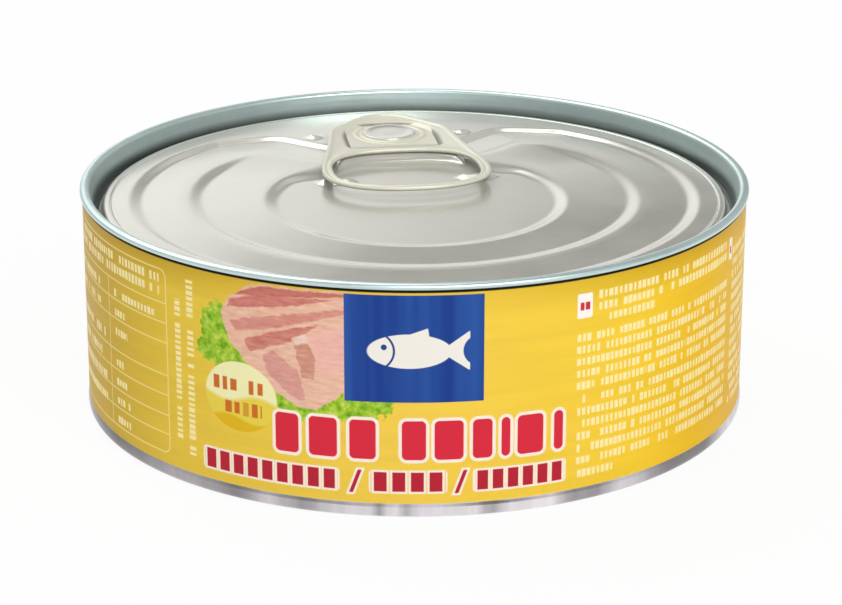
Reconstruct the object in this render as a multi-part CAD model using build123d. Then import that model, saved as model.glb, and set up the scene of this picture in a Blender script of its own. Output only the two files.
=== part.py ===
from build123d import *
import math
import os

# A shut round fish can: a drawn body, a beaded easy-open end and its pull tab.
# Millimetres, +Z up. The origin is the centre of the base, where the can stands.
# The can's front faces -Y, and the pull tab lies on the far side of the end.

# Overall sizes
can_height = 29.8        # base to the top of the seam
wall_dia = 86.4          # across the printed side wall
seam_overhang = 0.3      # how far the seam stands out past the wall

# Drawn body: bare base band, rounded corner and a standing ring
band_height = 1.95       # bare metal under the print
band_swell = 0.13        # how far the band stands out past the wall
band_blend = 0.5         # height over which the band swells
base_corner = 0.95       # radius of the corner at the base
foot_width = 1.6         # flat ring that the can stands on
foot_slope = 0.8         # width of the slope inside the standing ring
base_recess = 0.7        # base panel above the table
base_bead_dia = 58.0     # one shallow ring pressed in the base
base_bead_width = 3.0
base_bead_depth = 0.3

# End: seam, chuck wall and countersink
seam_height = 0.72       # visible height of the seam
seam_width = 1.25        # across the top of the seam
seam_round = 0.3         # rounding along the top of the seam
chuck_taper = 0.55       # how far the inner wall leans in on its way down
sheet = 0.3              # sheet thickness of the end and the tab's tongue
countersink_depth = 3.7  # channel bottom below the seam top
channel_width = 1.1      # channel between the inner wall and the panel
channel_round = 0.4      # rounding at the panel edge

# End panel, from its edge inwards: rings that step down, belts that climb between them
panel_depth = 2.5        # panel edge below the seam top
score_inset = 0.85       # panel edge to the tear line
score_width = 0.3
score_depth = 0.12
outer_belt_width = 3.25  # panel edge to the first ring
outer_belt_rise = 0.1
ring_1_width = 1.9
ring_1_drop = 0.42
belt_1_width = 5.65
ring_2_width = 2.15
ring_2_drop = 0.42
belt_2_width = 7.75      # mean width: the centre dish is set off to one side
belt_rise = 0.36         # each inner belt climbs this much on its way in
dish_slope_width = 2.0
dish_drop = 0.45
dish_offset = 1.9        # the centre dish sits this far away from the rivet

# What the end carries, placed along and across the tab's own axis
lid_turn = 7.8           # degrees that the end is turned, anticlockwise from above
rivet_inset = 14.8       # panel edge to the rivet
rivet_head_dia = 7.4
rivet_head_height = 0.3
rivet_head_round = 0.18
rivet_stem_dia = 5.0
boss_dia = 10.3          # pad pressed up under the tab's tongue
island_margin = 1.1      # level ground on the near side of the boss
island_half_width = 10.0 # level ground to each side of the boss
island_flank = 42        # degrees from the tab's axis where the outer ring starts
# bends of the island's side: share of its half width, and reach past its near edge
island_bends = [(0.6, 1.1), (1.0, 3.4), (1.32, 6.4), (1.56, 8.2), (1.9, 8.0)]
bump_dia = 2.6           # two small bumps beside the tab's nose
bump_height = 0.5
bump_past_rivet = 2.0
bump_clearance = 0.8     # between a bump and the tab's shoulder
rest_length = 5.6        # two raised rests under the tab's heel
rest_width = 1.8
rest_round = 0.54
rest_gap = 0.02          # heel above its rests

# Pull tab, lengths measured from the rivet
tab_width = 22.4
nose_past_rivet = 8.6
nose_flank_past_rivet = 6.4
nose_flank_half = 4.2
shoulder_past_rivet = 1.5
shoulder_half = 8.3
ring_before_rivet = 18.15 # widest place of the finger ring
heel_before_rivet = 27.1
hole_before_rivet = 9.8  # far edge of the finger hole
# bends of the tab's side: share of its draw-in, and share of the way to the shoulder
side_bends = [(0.3, 0.36), (0.64, 0.69)]
# bends of the hole's far side: share of its half width, and share of its rise
hole_bends = [(0.93, 0.42), (0.72, 0.74), (0.4, 0.94)]
ring_side = 1.65          # width of the ring at its sides
ring_heel = 1.2          # width of the ring at its heel
tab_thickness = 0.75
tab_top_depth = 1.12     # tab's top face below the seam top
tab_corner = 1.4         # rounding of the tab's shoulders
tab_edge_round = 0.3     # rolled edge of the tab
window_side_margin = 1.1 # window's sides outside the boss
window_near_margin = 2.05 # window's near edge outside the boss
window_far_margin = 0.94 # window's far edge inside the boss's
window_knee = 0.6        # share of the window's length with straight sides
window_crown = 0.42      # share of the window's width that its far edge keeps
window_corner = 1.6
tongue_depth = 0.53      # tongue's top face below the tab's top face
rivet_clearance = 0.1    # around the stem in the tongue

# Worked-out levels and radii
wall_r = wall_dia / 2
rim_r = wall_r + seam_overhang
band_r = wall_r + band_swell
top = can_height
seam_underside = top - seam_height
chuck_top_r = rim_r - seam_width
chuck_low_r = chuck_top_r - chuck_taper
pocket_r = chuck_top_r + sheet
pocket_floor = top - countersink_depth - sheet
panel_r = chuck_low_r - channel_width
panel_z = top - panel_depth
ring_1_outer_r = panel_r - outer_belt_width
ring_1_inner_r = ring_1_outer_r - ring_1_width
ring_2_outer_r = ring_1_inner_r - belt_1_width
ring_2_inner_r = ring_2_outer_r - ring_2_width
dish_r = ring_2_inner_r - belt_2_width
rivet_reach = panel_r - rivet_inset
ring_1_top = panel_z + outer_belt_rise
ring_1_low = ring_1_top - ring_1_drop
ring_2_top = ring_1_low + belt_rise
ring_2_low = ring_2_top - ring_2_drop
dish_top = ring_2_low + belt_rise
dish_floor = dish_top - dish_drop
nose_reach = rivet_reach + nose_past_rivet
nose_flank_reach = rivet_reach + nose_flank_past_rivet
shoulder_reach = rivet_reach + shoulder_past_rivet
bump_reach = rivet_reach + bump_past_rivet
bump_spread = shoulder_half + bump_clearance + bump_dia / 2
ring_reach = rivet_reach - ring_before_rivet
heel_reach = rivet_reach - heel_before_rivet
hole_reach = rivet_reach - hole_before_rivet
rest_spread = tab_width / 2 - ring_side
window_half = boss_dia / 2 + window_side_margin
window_near_reach = rivet_reach - boss_dia / 2 - window_near_margin
window_far_reach = rivet_reach + boss_dia / 2 - window_far_margin
tab_top = top - tab_top_depth
tab_under = tab_top - tab_thickness
tongue_top = tab_top - tongue_depth
tongue_under = tongue_top - sheet


def lathe(outline):
    """Solid of revolution about Z from a closed wire in the XZ plane."""
    return revolve(make_face(outline), Axis.Z, 360)


def turned(shape):
    """Turn a shape from the tab's axes, with the tab along +Y, to the can's."""
    return shape.rotate(Axis.Z, lid_turn)


def make_body():
    foot_outer_r = band_r - base_corner
    foot_inner_r = foot_outer_r - foot_width
    recess_r = foot_inner_r - foot_slope
    bead_outer_r = (base_bead_dia + base_bead_width) / 2
    bead_inner_r = (base_bead_dia - base_bead_width) / 2
    bead_mid_r = base_bead_dia / 2
    outline = Wire([
        *Polyline((0, 0, base_recess), (bead_inner_r, 0, base_recess)).edges(),
        ThreePointArc(
            (bead_inner_r, 0, base_recess),
            (bead_mid_r, 0, base_recess - base_bead_depth),
            (bead_outer_r, 0, base_recess),
        ),
        *Polyline(
            (bead_outer_r, 0, base_recess),
            (recess_r, 0, base_recess),
            (foot_inner_r, 0, 0),
            (foot_outer_r, 0, 0),
        ).edges(),
        ThreePointArc(
            (foot_outer_r, 0, 0),
            (
                foot_outer_r + base_corner * math.sin(math.pi / 4),
                0,
                base_corner * (1 - math.cos(math.pi / 4)),
            ),
            (band_r, 0, base_corner),
        ),
        *Polyline(
            (band_r, 0, base_corner),
            (band_r, 0, band_height - band_blend),
            (wall_r, 0, band_height),
            (wall_r, 0, seam_underside),
            (pocket_r, 0, seam_underside),
            (pocket_r, 0, pocket_floor),
            (0, 0, pocket_floor),
            (0, 0, base_recess),
        ).edges(),
    ])
    return lathe(outline)


def make_end_blank():
    """Seam, inner wall, countersink and the ringed panel, all round the axis."""
    channel_r = channel_width / 2
    channel_mid_r = panel_r + channel_r
    channel_low = top - countersink_depth
    score_outer_r = panel_r - score_inset
    score_mid_r = score_outer_r - score_width / 2
    score_inner_r = score_outer_r - score_width
    round_in = seam_round * (1 - math.cos(math.pi / 4))
    crown_z = top - seam_round + seam_round * math.sin(math.pi / 4)
    edge_in = channel_round * (1 - math.cos(math.pi / 4))
    outline = Wire([
        *Polyline(
            (0, 0, pocket_floor),
            (pocket_r, 0, pocket_floor),
            (pocket_r, 0, seam_underside),
            (rim_r, 0, seam_underside),
            (rim_r, 0, top - seam_round),
        ).edges(),
        ThreePointArc(
            (rim_r, 0, top - seam_round),
            (rim_r - round_in, 0, crown_z),
            (rim_r - seam_round, 0, top),
        ),
        Line((rim_r - seam_round, 0, top), (chuck_top_r + seam_round, 0, top)),
        ThreePointArc(
            (chuck_top_r + seam_round, 0, top),
            (chuck_top_r + round_in, 0, crown_z),
            (chuck_top_r, 0, top - seam_round),
        ),
        Line(
            (chuck_top_r, 0, top - seam_round),
            (chuck_low_r, 0, channel_low + channel_r),
        ),
        ThreePointArc(
            (chuck_low_r, 0, channel_low + channel_r),
            (channel_mid_r, 0, channel_low),
            (panel_r, 0, channel_low + channel_r),
        ),
        Line(
            (panel_r, 0, channel_low + channel_r),
            (panel_r, 0, panel_z - channel_round),
        ),
        ThreePointArc(
            (panel_r, 0, panel_z - channel_round),
            (panel_r - edge_in, 0, panel_z - edge_in),
            (panel_r - channel_round, 0, panel_z),
        ),
        *Polyline(
            (panel_r - channel_round, 0, panel_z),
            (score_outer_r, 0, panel_z),
            (score_mid_r, 0, panel_z - score_depth),
            (score_inner_r, 0, panel_z),
            (ring_1_outer_r, 0, ring_1_top),
            (ring_1_inner_r, 0, ring_1_low),
            (ring_2_outer_r, 0, ring_2_top),
            (ring_2_inner_r, 0, ring_2_low),
            (dish_r, 0, dish_top),
            (0, 0, dish_top),
            (0, 0, pocket_floor),
        ).edges(),
    ])
    return lathe(outline)


def make_dish():
    """Shallow cone that presses the centre of the panel down."""
    overshoot = 1.0
    slope = dish_slope_width / dish_drop
    tool = Cone(
        dish_r - dish_slope_width,
        dish_r + overshoot * slope,
        dish_drop + overshoot,
        align=(Align.CENTER, Align.CENTER, Align.MIN),
    )
    return turned(tool.moved(Location((0, -dish_offset, dish_floor))))


def make_island():
    """Level ground round the rivet, where the rings stop and bend inwards."""
    flank = math.radians(island_flank)
    root = (ring_1_inner_r * math.sin(flank), ring_1_inner_r * math.cos(flank))
    mouth = (
        ring_1_outer_r * math.sin(flank),
        ring_1_outer_r * math.cos(flank),
    )
    near = rivet_reach - boss_dia / 2 - island_margin
    half = island_half_width
    bends = [(half * share, near + reach) for share, reach in island_bends]
    right = [(0, near), *bends, root]
    left = [(-x, y) for x, y in right[1:]]
    outline = Wire([
        *Spline(*reversed(left), *right).edges(),
        Line(root, mouth),
        ThreePointArc(mouth, (0, ring_1_outer_r), (-mouth[0], mouth[1])),
        Line((-mouth[0], mouth[1]), (-root[0], root[1])),
    ])
    block = extrude(make_face(outline), ring_1_top - pocket_floor, dir=(0, 0, 1))
    return turned(block.moved(Location((0, 0, pocket_floor))))


def make_rivet():
    """Boss, stem and head, pressed from the end's own sheet."""
    boss_height = tongue_under - ring_1_top
    stem_height = sheet + rivet_head_height
    boss = Cylinder(
        boss_dia / 2,
        boss_height + sheet,
        align=(Align.CENTER, Align.CENTER, Align.MIN),
    )
    stem = Cylinder(
        rivet_stem_dia / 2,
        stem_height,
        align=(Align.CENTER, Align.CENTER, Align.MIN),
    )
    head = Cylinder(
        rivet_head_dia / 2,
        rivet_head_height,
        align=(Align.CENTER, Align.CENTER, Align.MIN),
    )
    head = fillet(head.edges().sort_by(Axis.Z)[-1:], rivet_head_round)
    boss = boss.moved(Location((0, rivet_reach, ring_1_top - sheet)))
    stem = stem.moved(Location((0, rivet_reach, tongue_under)))
    head = head.moved(Location((0, rivet_reach, tongue_top)))
    return turned(boss + stem + head)


def make_bump(side):
    """Round bump beside the tab's nose: a cap of a sphere."""
    bump_r = bump_dia / 2
    ball_r = (bump_r**2 + bump_height**2) / (2 * bump_height)
    centre = Location((side * bump_spread, bump_reach, ring_1_top + bump_height - ball_r))
    ball = Sphere(ball_r).moved(centre)
    keep = Box(
        2 * bump_dia,
        2 * bump_dia,
        2 * bump_height,
        align=(Align.CENTER, Align.CENTER, Align.CENTER),
    ).moved(Location((side * bump_spread, bump_reach, ring_1_top)))
    return turned(ball & keep)


def make_rest(side):
    """Raised rest that the heel of the tab lies on."""
    height = tab_under - rest_gap - dish_floor
    slot = extrude(SlotOverall(rest_length, rest_width), height + sheet)
    slot = fillet(slot.edges().group_by(Axis.Z)[-1], rest_round)
    place = Location((side * rest_spread, ring_reach, dish_floor - sheet))
    return turned(slot.moved(place))


def make_lid():
    lid = make_end_blank() - make_dish()
    lid = lid + make_island() + make_rivet()
    for side in (-1, 1):
        lid = lid + make_bump(side) + make_rest(side)
    return lid


def tab_outline():
    """Outer edge of the tab: half an ellipse at the heel, sides that draw in, round nose."""
    half = tab_width / 2
    heel_drop = ring_reach - heel_reach
    span = shoulder_reach - ring_reach
    heel = EllipticalCenterArc(
        (0, ring_reach), half, heel_drop, start_angle=180, arc_size=180
    )
    draw_in = half - shoulder_half
    bends = [(half - inward * draw_in, ring_reach + along * span) for inward, along in side_bends]
    side = [(half, ring_reach), *bends, (shoulder_half, shoulder_reach)]
    up = (0, 1)
    right = Spline(*side, tangents=[up, (-0.08, 1)])
    left = Spline(*[(-x, y) for x, y in side], tangents=[up, (0.08, 1)])
    right_flank = Line((shoulder_half, shoulder_reach), (nose_flank_half, nose_flank_reach))
    left_flank = Line((-shoulder_half, shoulder_reach), (-nose_flank_half, nose_flank_reach))
    nose = ThreePointArc(
        (nose_flank_half, nose_flank_reach),
        (0, nose_reach),
        (-nose_flank_half, nose_flank_reach),
    )
    face = make_face(Wire([heel, right, right_flank, nose, left_flank, left]))
    shoulders = [
        v for v in face.vertices()
        if abs(v.Y - shoulder_reach) < 0.01
    ]
    return fillet(shoulders, tab_corner)


def finger_hole():
    half = tab_width / 2 - ring_side
    near = heel_reach + ring_heel
    rise = hole_reach - ring_reach
    lower = EllipticalCenterArc(
        (0, ring_reach), half, ring_reach - near, start_angle=180, arc_size=180
    )
    bends = [(half * share, ring_reach + rise * along) for share, along in hole_bends]
    right = [(half, ring_reach), *bends]
    left = [(-x, y) for x, y in reversed(right)]
    upper = Spline(*right, (0, hole_reach), *left, tangents=[(0, 1), (0, -1)])
    return make_face(Wire([lower, upper]))


def window_outline():
    half = window_half
    knee = window_near_reach + window_knee * (window_far_reach - window_near_reach)
    crown_half = half * window_crown
    face = make_face(Polyline(
        (-half, window_near_reach),
        (half, window_near_reach),
        (half, knee),
        (crown_half, window_far_reach),
        (-crown_half, window_far_reach),
        (-half, knee),
        close=True,
    ))
    return fillet(face.vertices(), window_corner)


def make_pull_tab():
    plate = extrude(tab_outline(), tab_thickness)
    plate = plate - extrude(finger_hole(), tab_thickness)
    rim_edges = plate.edges().filter_by(
        lambda e: abs(e.center().Z) < 0.001 or abs(e.center().Z - tab_thickness) < 0.001
    )
    plate = fillet(rim_edges, tab_edge_round)
    window = window_outline()
    plate = plate - extrude(window, tab_thickness)
    plate = plate.moved(Location((0, 0, tab_under)))
    tongue = extrude(window, sheet).moved(Location((0, 0, tongue_under)))
    stem_hole = Cylinder(
        rivet_stem_dia / 2 + rivet_clearance, 4 * sheet
    ).moved(Location((0, rivet_reach, tongue_under)))
    return turned(plate + tongue - stem_hole)


def write(node, shape):
    shape = shape.clean()
    solids = shape.solids()
    print(node, "solids", len(solids), "volume", round(shape.volume, 1))
    export_step(shape, os.path.join("parts", node + ".step"))


os.makedirs("parts", exist_ok=True)
write("can_body", make_body())
write("lid", make_lid())
write("pull_tab", make_pull_tab())
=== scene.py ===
import math

import bmesh
import bpy
import numpy as np
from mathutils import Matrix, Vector


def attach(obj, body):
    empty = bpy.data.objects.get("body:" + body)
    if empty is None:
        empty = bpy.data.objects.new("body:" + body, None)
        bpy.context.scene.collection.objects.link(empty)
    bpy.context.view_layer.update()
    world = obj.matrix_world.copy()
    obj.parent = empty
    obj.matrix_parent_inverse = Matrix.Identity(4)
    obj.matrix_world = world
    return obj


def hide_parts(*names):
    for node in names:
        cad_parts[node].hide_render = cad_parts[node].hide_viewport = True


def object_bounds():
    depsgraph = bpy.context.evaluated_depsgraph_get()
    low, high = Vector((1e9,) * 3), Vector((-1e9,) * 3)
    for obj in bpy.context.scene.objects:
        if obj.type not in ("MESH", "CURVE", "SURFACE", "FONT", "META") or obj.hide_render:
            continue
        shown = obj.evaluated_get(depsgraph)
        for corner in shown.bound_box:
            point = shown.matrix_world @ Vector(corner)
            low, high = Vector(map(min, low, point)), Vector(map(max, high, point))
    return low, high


# The looks of a shut round fish can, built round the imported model.
# Lengths are in millimetres in the same frame as the CAD, and go to metres as a mesh is made.
# The can's front faces -Y. On the wall, s is the distance round it from the front, positive to
# the right, and z the height.

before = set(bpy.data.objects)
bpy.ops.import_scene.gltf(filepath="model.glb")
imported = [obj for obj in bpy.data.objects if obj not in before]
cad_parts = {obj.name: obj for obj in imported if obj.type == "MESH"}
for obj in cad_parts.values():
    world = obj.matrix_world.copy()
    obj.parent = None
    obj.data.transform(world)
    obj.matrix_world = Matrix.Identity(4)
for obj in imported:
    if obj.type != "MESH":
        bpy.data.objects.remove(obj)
cad_low, cad_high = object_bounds()
MM = 0.001

# Sizes of the can
top = cad_high.z / MM
rim_r = 43.5
wall_r = 43.2
band_r = 43.33
band_height = 1.95
seam_underside = top - 0.72
seam_top_in = 42.25
chuck_low_r = 41.7
channel_r = 0.55
channel_low = top - 3.7
panel_r = 40.6
panel_z = top - 2.5
panel_edge = 0.4
lid_turn = math.radians(7.8)
can_segments, rivet_segments = 384, 96
rivet_a = 25.8

# Levels and radii of the panel
ring_1_in, ring_1_out = 35.45, 37.35
ring_2_in, ring_2_out = 27.65, 29.8
dish_r, dish_slope, dish_widening, dish_shift = 19.9, 2.0, 5.0, 1.9
high_z, trough_1, belt_1_top = top - 2.4, top - 2.82, top - 2.46
ring_2_drop, belt_2_climb, dish_drop = 0.36, 0.36, 0.4
belt_1_run, belt_1_dip, belt_1_dip_half = 5.65, 0.12, 0.6
outer_belt_out, outer_belt_fall = 39.75, 0.1
score_r, score_depth, score_half = 39.6, 0.12, 0.16
boss_top_r, boss_foot_r, boss_edge_r, boss_high = 5.1, 6.3, 6.4, 0.45

# Raised marks beside the nose and beside the heel, in the tab's axes: across, and to the nose
mark_r = 1.5
bump_across, bump_along, bump_high = 10.4, 27.8, 0.36
rest_from, rest_to, rest_high = 7.9, 10.9, 0.5

# Pull tab, in the same axes
tab_under, tab_top = top - 1.87, top - 1.12
crown_drop = 0.2
tongue_top = top - 1.77
heel_a = -1.3
ring_half, ring_mid, ring_depth, ring_power = 11.3, 7.65, 8.95, 2.3
hole_half, hole_near_depth, hole_far_depth = 9.8, 7.75, 8.7
hole_near_power, hole_far_power = 2.6, 2.7
window_near, window_half, window_corner = 18.6, 6.25, 1.25
shoulder, nose_corner, nose_tip = (8.4, 25.9), (6.7, 28.95), (0, 34.4)
rivet_r, rivet_round = 3.7, 0.16

# Camera: how far it stands and how far under the rim it looks, in rim radii, and how it tilts
camera_reach, camera_drop, camera_tilt = 8.768, 0.4035, math.radians(17.017)


# ---------------------------------------------------------------- meshes

def place(t, a):
    """A point of the tab's axes (t across, a towards the nose) in the can's X and Y."""
    c, s = math.cos(lid_turn), math.sin(lid_turn)
    return t * c - a * s, t * s + a * c


def make_object(name, verts, faces, material, node, sharp=35):
    mesh = bpy.data.meshes.new(name)
    mesh.from_pydata([(x * MM, y * MM, z * MM) for x, y, z in verts], [], faces)
    mesh.materials.append(material)
    mesh.polygons.foreach_set("use_smooth", [True] * len(mesh.polygons))
    mesh.set_sharp_from_angle(angle=math.radians(sharp))
    obj = bpy.data.objects.new(name, mesh)
    bpy.context.scene.collection.objects.link(obj)
    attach(obj, "root")
    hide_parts(node)
    return obj


def lathe_mesh(outline, segments, centre=(0.0, 0.0)):
    """Verts and faces of an outline (r, z) turned about an upright line.

    A point at r 0 is one vertex."""
    verts, rows = [], []
    for r, z in outline:
        if r < 1e-6:
            rows.append([len(verts)] * segments)
            verts.append((centre[0], centre[1], z))
            continue
        rows.append(range(len(verts), len(verts) + segments))
        for j in range(segments):
            angle = 2 * math.pi * j / segments - math.pi / 2
            verts.append((centre[0] + r * math.cos(angle), centre[1] + r * math.sin(angle), z))
    faces = []
    for low, high in zip(rows, rows[1:]):
        for j in range(segments):
            k = (j + 1) % segments
            face = [low[j], low[k], high[k], high[j]]
            face = [v for i, v in enumerate(face) if v != face[i - 1]]
            faces.append(face)
    return verts, faces


def arc(cr, cz, radius_r, radius_z, start, end, steps):
    """Points of an arc about (cr, cz); degrees from outward, up is 90."""
    return [
        (
            cr + radius_r * math.cos(math.radians(start + (end - start) * i / steps)),
            cz + radius_z * math.sin(math.radians(start + (end - start) * i / steps)),
        )
        for i in range(steps + 1)
    ]


def smooth(x, low, high):
    u = np.clip((x - low) / (high - low), 0, 1)
    return u * u * (3 - 2 * u)


def spline(points, per_span=16):
    """Smooth open line through points."""
    p = [np.array(q, float) for q in points]
    p = [2 * p[0] - p[1], *p, 2 * p[-1] - p[-2]]
    out = []
    for i in range(1, len(p) - 2):
        for j in range(per_span):
            u = j / per_span
            out.append(0.5 * (
                2 * p[i] + (p[i + 1] - p[i - 1]) * u
                + (2 * p[i - 1] - 5 * p[i] + 4 * p[i + 1] - p[i + 2]) * u * u
                + (3 * p[i] - p[i - 1] - 3 * p[i + 1] + p[i + 2]) * u ** 3
            ))
    out.append(p[-2])
    return np.array(out)


# ---------------------------------------------------------------- procedural materials

def colour(red, green, blue):
    """Linear colour from 0-255 screen values."""
    def linear(v):
        v /= 255
        return v / 12.92 if v <= 0.04045 else ((v + 0.055) / 1.055) ** 2.4
    return (linear(red), linear(green), linear(blue), 1.0)


class Graph:
    """Adds nodes to one tree. Values are numbers or sockets."""

    def __init__(self, tree):
        self.tree = tree

    def add(self, kind, **settings):
        node = self.tree.nodes.new(kind)
        for key, value in settings.items():
            setattr(node, key, value)
        return node

    def feed(self, socket, value):
        if isinstance(value, bpy.types.NodeSocket):
            self.tree.links.new(value, socket)
        else:
            socket.default_value = value

    def math(self, operation, *values, clamp=False):
        node = self.add("ShaderNodeMath", operation=operation, use_clamp=clamp)
        for socket, value in zip(node.inputs, values):
            self.feed(socket, value)
        return node.outputs[0]

    def vector(self, operation, *values):
        node = self.add("ShaderNodeVectorMath", operation=operation)
        for socket, value in zip(node.inputs, values):
            self.feed(socket, value)
        return node.outputs["Value" if operation in ("LENGTH", "DOT_PRODUCT") else "Vector"]

    def combine(self, x, y, z):
        node = self.add("ShaderNodeCombineXYZ")
        for socket, value in zip(node.inputs, (x, y, z)):
            self.feed(socket, value)
        return node.outputs[0]

    def mix(self, factor, a, b):
        node = self.add("ShaderNodeMix", data_type="RGBA")
        self.feed(node.inputs[0], factor)
        self.feed(node.inputs[6], a)
        self.feed(node.inputs[7], b)
        return node.outputs[2]

    def multiply(self, shade, a):
        """Colour a times a grey value."""
        node = self.add("ShaderNodeMix", data_type="RGBA", blend_type="MULTIPLY")
        node.inputs[0].default_value = 1.0
        self.feed(node.inputs[6], a)
        self.feed(node.inputs[7], shade)
        return node.outputs[2]

    def noise(self, vector, scale, detail=2.0, roughness=0.5):
        node = self.add("ShaderNodeTexNoise")
        self.feed(node.inputs["Vector"], vector)
        node.inputs["Scale"].default_value = scale
        node.inputs["Detail"].default_value = detail
        node.inputs["Roughness"].default_value = roughness
        return node.outputs["Fac"]

    def ramp(self, factor, stops):
        node = self.add("ShaderNodeValToRGB")
        self.feed(node.inputs[0], factor)
        elements = node.color_ramp.elements
        while len(elements) < len(stops):
            elements.new(0.5)
        for element, (position, value) in zip(elements, stops):
            element.position = position
            element.color = value if isinstance(value, tuple) else (value, value, value, 1)
        return node.outputs[0]

    def span(self, value, low, high):
        """value from 0..1 to low..high"""
        return self.math("MULTIPLY_ADD", value, high - low, low)

    def place_mm(self):
        """Object coordinates in millimetres."""
        point = self.add("ShaderNodeTexCoord").outputs["Object"]
        return self.vector("MULTIPLY", point, (1 / MM,) * 3)


def new_material(name):
    material = bpy.data.materials.new(name)
    material.use_nodes = True
    graph = Graph(material.node_tree)
    shader = material.node_tree.nodes["Principled BSDF"]
    return material, graph, shader


def bump(graph, shader, height, distance_mm, strength=1.0):
    node = graph.add("ShaderNodeBump")
    node.inputs["Strength"].default_value = strength
    node.inputs["Distance"].default_value = distance_mm * MM
    graph.feed(node.inputs["Height"], height)
    graph.feed(shader.inputs["Normal"], node.outputs[0])


def sheet_metal(name, light, dark, metallic, roughness, grain=(0.25, 6.0, 6.0), spread=0.05):
    """Lacquered sheet with a faint rolling grain along X, soft clouding and small scuffs."""
    material, g, shader = new_material(name)
    p = g.place_mm()
    rolled = g.noise(g.vector("MULTIPLY", p, grain), 1.0, 3.0)
    cloud = g.noise(p, 0.09, 3.0)
    fine = g.noise(p, 5.0, 2.0)
    shade = g.math("ADD", g.math("MULTIPLY", rolled, 0.35), g.math("MULTIPLY", cloud, 0.65))
    shade = g.ramp(shade, [(0.3, 0.0), (0.7, 1.0)])
    g.feed(shader.inputs["Base Color"], g.mix(shade, dark, light))
    rough = g.math("ADD", g.span(rolled, -spread, spread), g.span(cloud, -spread, spread))
    g.feed(shader.inputs["Roughness"], g.math("ADD", rough, roughness))
    shader.inputs["Metallic"].default_value = metallic
    grain_height = g.math("ADD", g.math("MULTIPLY", rolled, 0.6), g.math("MULTIPLY", fine, 0.4))
    bump(g, shader, grain_height, 0.006, 0.35)
    return material, g, shader


end_metal, _, _ = sheet_metal(
    "end_lacquer", colour(238, 237, 227), colour(229, 227, 217), 0.6, 0.22)
seam_metal, seam_graph, seam_shader = sheet_metal(
    "seam_lacquer", colour(228, 247, 245), colour(212, 233, 231), 0.85, 0.35, (0.6, 0.6, 2.0), 0.03)
tab_metal, tab_graph, tab_shader = sheet_metal(
    "tab_enamel", colour(232, 230, 211), colour(223, 220, 200), 0.2, 0.36, (0.4, 3.0, 3.0), 0.03)
tab_shader.inputs["Coat Weight"].default_value = 0.2
tab_shader.inputs["Coat Roughness"].default_value = 0.3


def paint_recess_shade(g, shader):
    """Painted shade low on the tab's edges, and painted shade on the tongue's near end beside the
    plate.
    """
    base = shader.inputs["Base Color"]
    paint = base.links[0].from_socket
    p = g.place_mm()
    c, s = math.cos(lid_turn), math.sin(lid_turn)
    t = g.math("ABSOLUTE", g.vector("DOT_PRODUCT", p, (c, s, 0.0)))
    a = g.vector("DOT_PRODUCT", p, (-s, c, 0.0))
    z = g.vector("DOT_PRODUCT", p, (0.0, 0.0, 1.0))
    thick = tab_top - tab_under
    lift = g.math("MULTIPLY_ADD", z, 1 / thick, -tab_under / thick, clamp=True)
    # painted shade: the lower part of every edge of the tab is darker
    edge = g.ramp(lift, [(0.0, 0.22), (0.35, 0.34), (0.6, 0.78), (0.72, 1.0)])
    start, length = 18.4, 3
    # painted shade on the tongue, darkest beside the plate's near edge
    tongue = g.math("MULTIPLY_ADD", a, 1 / length, -start / length, clamp=True)
    tongue = g.ramp(tongue, [(0.0, 0.4), (0.35, 0.62), (0.7, 1.0)])
    half, near, far = 6.02, 18.7, 29.7
    inside = g.math("MULTIPLY", g.math("LESS_THAN", t, half), g.math("GREATER_THAN", a, near))
    inside = g.math("MULTIPLY", inside, g.math("LESS_THAN", a, far))
    g.feed(base, g.multiply(g.mix(inside, edge, tongue), paint))


def paint_channel_shade(g, shader):
    """Painted shade: the seam piece darkens downwards from the top of the roll, to about three
    quarters on the inner wall and much darker at the wall's foot and in the channel.
    """
    base = shader.inputs["Base Color"]
    paint = base.links[0].from_socket
    split = g.add("ShaderNodeSeparateXYZ")
    g.feed(split.inputs[0], g.place_mm())
    start, length = channel_low + 0.6, 2.8
    rise = g.math("MULTIPLY_ADD", split.outputs[2], 1 / length, -start / length, clamp=True)
    shade = g.ramp(rise, [(0.0, 0.12), (0.2, 0.3), (0.5, 0.7), (0.9, 0.74), (1.0, 1.0)])
    g.feed(base, g.multiply(shade, paint))


paint_channel_shade(seam_graph, seam_shader)
paint_recess_shade(tab_graph, tab_shader)


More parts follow.
